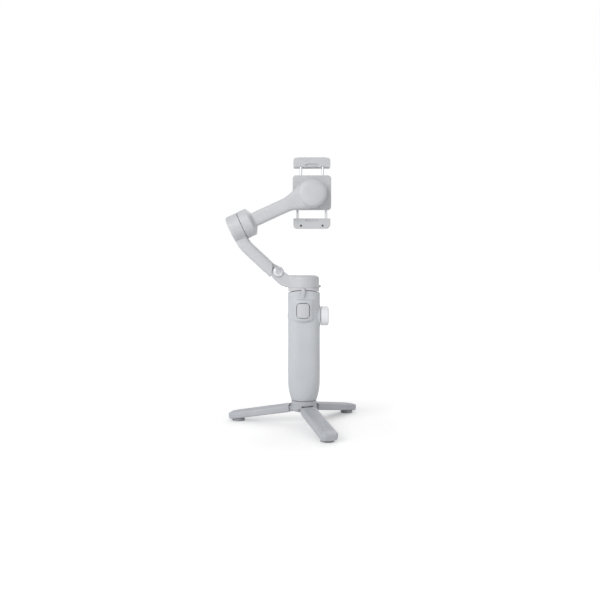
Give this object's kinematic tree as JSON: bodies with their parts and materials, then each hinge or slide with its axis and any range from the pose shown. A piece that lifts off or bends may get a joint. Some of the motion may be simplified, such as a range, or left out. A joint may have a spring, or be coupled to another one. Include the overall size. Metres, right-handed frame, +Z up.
{
  "type": "gimbal stabilizer",
  "caption": "Hand-held three-axis phone gimbal: slim handle with trigger, knob and thumb controls, folding two-part arm, sprung phone clamp and fold-out mini tripod",
  "frame": {"origin": "on the ground, on the handle's axis, at the centre of the circle through the three feet", "axes": "+X towards the side knob, +Y towards the user with the thumb controls and the phone's screen, +Z up along the handle"},
  "size_m": [0.1632, 0.1642, 0.3211],
  "materials": {
    "body_shell": "fine satin texture, cool light grey",
    "arm_shell": "smooth satin, slightly lighter grey",
    "clamp_plastic": "satin light grey",
    "tripod_plastic": "fine grained grey",
    "button_gloss": "smooth pale grey, slightly glossy",
    "dark_plastic": "dark satin",
    "record_red": "smooth red",
    "light_lens": "milky light guide",
    "soft_rubber": "soft matt rubber",
    "steel": "turned steel",
    "rod_metal": "drawn and anodised",
    "battery_sleeve": "shrink sleeve",
    "board_green": "solder mask",
    "coil_copper": "enamelled windings",
    "motor_steel": "black plated"
  },
  "bodies": {
    "handle": {"handle_front_shell": "body_shell", "handle_rear_shell": "body_shell", "handle_base_cap": "clamp_plastic", "tripod_socket": "steel", "battery_cell": "battery_sleeve", "main_board": "board_green", "usb_port": "steel", "control_panel": "dark_plastic", "status_lights": "light_lens", "rod_guide_sleeve": "rod_metal", "trigger_switch": "dark_plastic", "knob_encoder": "dark_plastic", "joystick_base": "dark_plastic", "tripod_hub": "tripod_plastic", "tripod_stud": "steel", "leg_pins": "steel"},
    "trigger": {"trigger_button": "button_gloss"},
    "knob": {"focus_knob": "button_gloss"},
    "joystick_ring": {"joystick_ring": "dark_plastic"},
    "joystick": {"joystick_cap": "soft_rubber"},
    "record_button": {"record_button": "record_red"},
    "mode_button": {"mode_button": "dark_plastic"},
    "power_button": {"power_button": "button_gloss"},
    "rod_outer": {"rod_outer_tube": "rod_metal"},
    "rod_head": {"rod_inner_tube": "rod_metal", "rod_head_collar": "clamp_plastic", "pan_motor_rotor": "motor_steel"},
    "pan_unit": {"pan_housing": "arm_shell", "pan_motor_stator": "coil_copper", "pan_bearing": "steel", "fold_pin": "steel", "fold_pin_nut": "steel"},
    "lower_arm": {"lower_arm_shell": "arm_shell", "lower_arm_cover": "arm_shell", "tilt_motor_stator": "coil_copper", "tilt_bearing": "steel"},
    "upper_arm": {"upper_arm_shell": "arm_shell", "upper_arm_cover": "arm_shell", "tilt_motor_rotor": "motor_steel", "roll_motor_stator": "coil_copper", "roll_bearing": "steel"},
    "clamp": {"clamp_plate": "clamp_plastic", "clamp_springs": "steel", "roll_motor_rotor": "motor_steel"},
    "upper_jaw": {"upper_jaw": "clamp_plastic", "upper_jaw_pad": "soft_rubber", "upper_jaw_rods": "steel"},
    "lower_jaw": {"lower_jaw": "clamp_plastic", "lower_jaw_pad": "soft_rubber", "lower_jaw_rods": "steel", "lower_jaw_screws": "steel"},
    "leg_front": {"leg_front": "tripod_plastic", "foot_front": "soft_rubber"},
    "leg_right": {"leg_right": "tripod_plastic", "foot_right": "soft_rubber"},
    "leg_left": {"leg_left": "tripod_plastic", "foot_left": "soft_rubber"}
  },
  "joints": [
    {"name": "trigger_press", "type": "slide", "parent": "handle", "child": "trigger", "axis": [0, 1, 0], "range_m": [0, 0.002], "stiffness_N_per_m": 600},
    {"name": "knob_turn", "type": "hinge", "parent": "handle", "child": "knob", "pos_m": [0.0197, 0, 0.1294], "axis": [1, 0, 0], "continuous": true},
    {"name": "joystick_up_down", "type": "hinge", "parent": "handle", "child": "joystick_ring", "pos_m": [0, 0.013, 0.141], "axis": [1, 0, 0], "range_deg": [-10, 10], "stiffness_Nm_per_rad": 0.05},
    {"name": "joystick_left_right", "type": "hinge", "parent": "joystick_ring", "child": "joystick", "pos_m": [0, 0.013, 0.141], "axis": [0, 0, 1], "range_deg": [-10, 10], "stiffness_Nm_per_rad": 0.05},
    {"name": "record_press", "type": "slide", "parent": "handle", "child": "record_button", "axis": [0, -1, 0], "range_m": [0, 0.001], "stiffness_N_per_m": 500},
    {"name": "mode_press", "type": "slide", "parent": "handle", "child": "mode_button", "axis": [0, -1, 0], "range_m": [0, 0.001], "stiffness_N_per_m": 500},
    {"name": "power_press", "type": "slide", "parent": "handle", "child": "power_button", "axis": [1, 0, 0], "range_m": [0, 0.0008], "stiffness_N_per_m": 500},
    {"name": "rod_outer_slide", "type": "slide", "parent": "handle", "child": "rod_outer", "axis": [0, 0, 1], "range_m": [0, 0.05]},
    {"name": "rod_inner_slide", "type": "slide", "parent": "rod_outer", "child": "rod_head", "axis": [0, 0, 1], "range_m": [0, 0.05]},
    {"name": "pan", "type": "hinge", "parent": "rod_head", "child": "pan_unit", "pos_m": [0, 0, 0.1632], "axis": [0, 0, 1], "range_deg": [-160, 160]},
    {"name": "arm_fold", "type": "hinge", "parent": "pan_unit", "child": "lower_arm", "pos_m": [-0.0307, 0, 0.1816], "axis": [0, 1, 0], "range_deg": [0, 75]},
    {"name": "tilt", "type": "hinge", "parent": "lower_arm", "child": "upper_arm", "pos_m": [-0.0738, 0, 0.2375], "axis": [0.9078, 0, 0.4195], "range_deg": [-90, 90]},
    {"name": "roll", "type": "hinge", "parent": "upper_arm", "child": "clamp", "pos_m": [0.00972, 0.00395, 0.27609], "axis": [0, 1, 0], "range_deg": [-110, 110]},
    {"name": "upper_jaw_slide", "type": "slide", "parent": "clamp", "child": "upper_jaw", "axis": [0, 0, 1], "range_m": [-0.006, 0.008], "stiffness_N_per_m": 300, "deforming": ["clamp_springs"]},
    {"name": "lower_jaw_slide", "type": "slide", "parent": "clamp", "child": "lower_jaw", "axis": [0, 0, -1], "range_m": [-0.006, 0.008], "stiffness_N_per_m": 300},
    {"name": "leg_front_fold", "type": "hinge", "parent": "handle", "child": "leg_front", "pos_m": [0.00346, -0.01097, 0.0188], "axis": [0.9537, 0.3007, 0], "range_deg": [0, 80]},
    {"name": "leg_right_fold", "type": "hinge", "parent": "handle", "child": "leg_right", "pos_m": [0.00777, 0.00848, 0.0188], "axis": [-0.7373, 0.6756, 0], "range_deg": [0, 80]},
    {"name": "leg_left_fold", "type": "hinge", "parent": "handle", "child": "leg_left", "pos_m": [-0.01123, 0.00249, 0.0188], "axis": [-0.2164, -0.9763, 0], "range_deg": [0, 80]}
  ],
  "couplings": [
    {"joint": "lower_jaw_slide", "follows": "upper_jaw_slide", "ratio": 1}
  ]
}
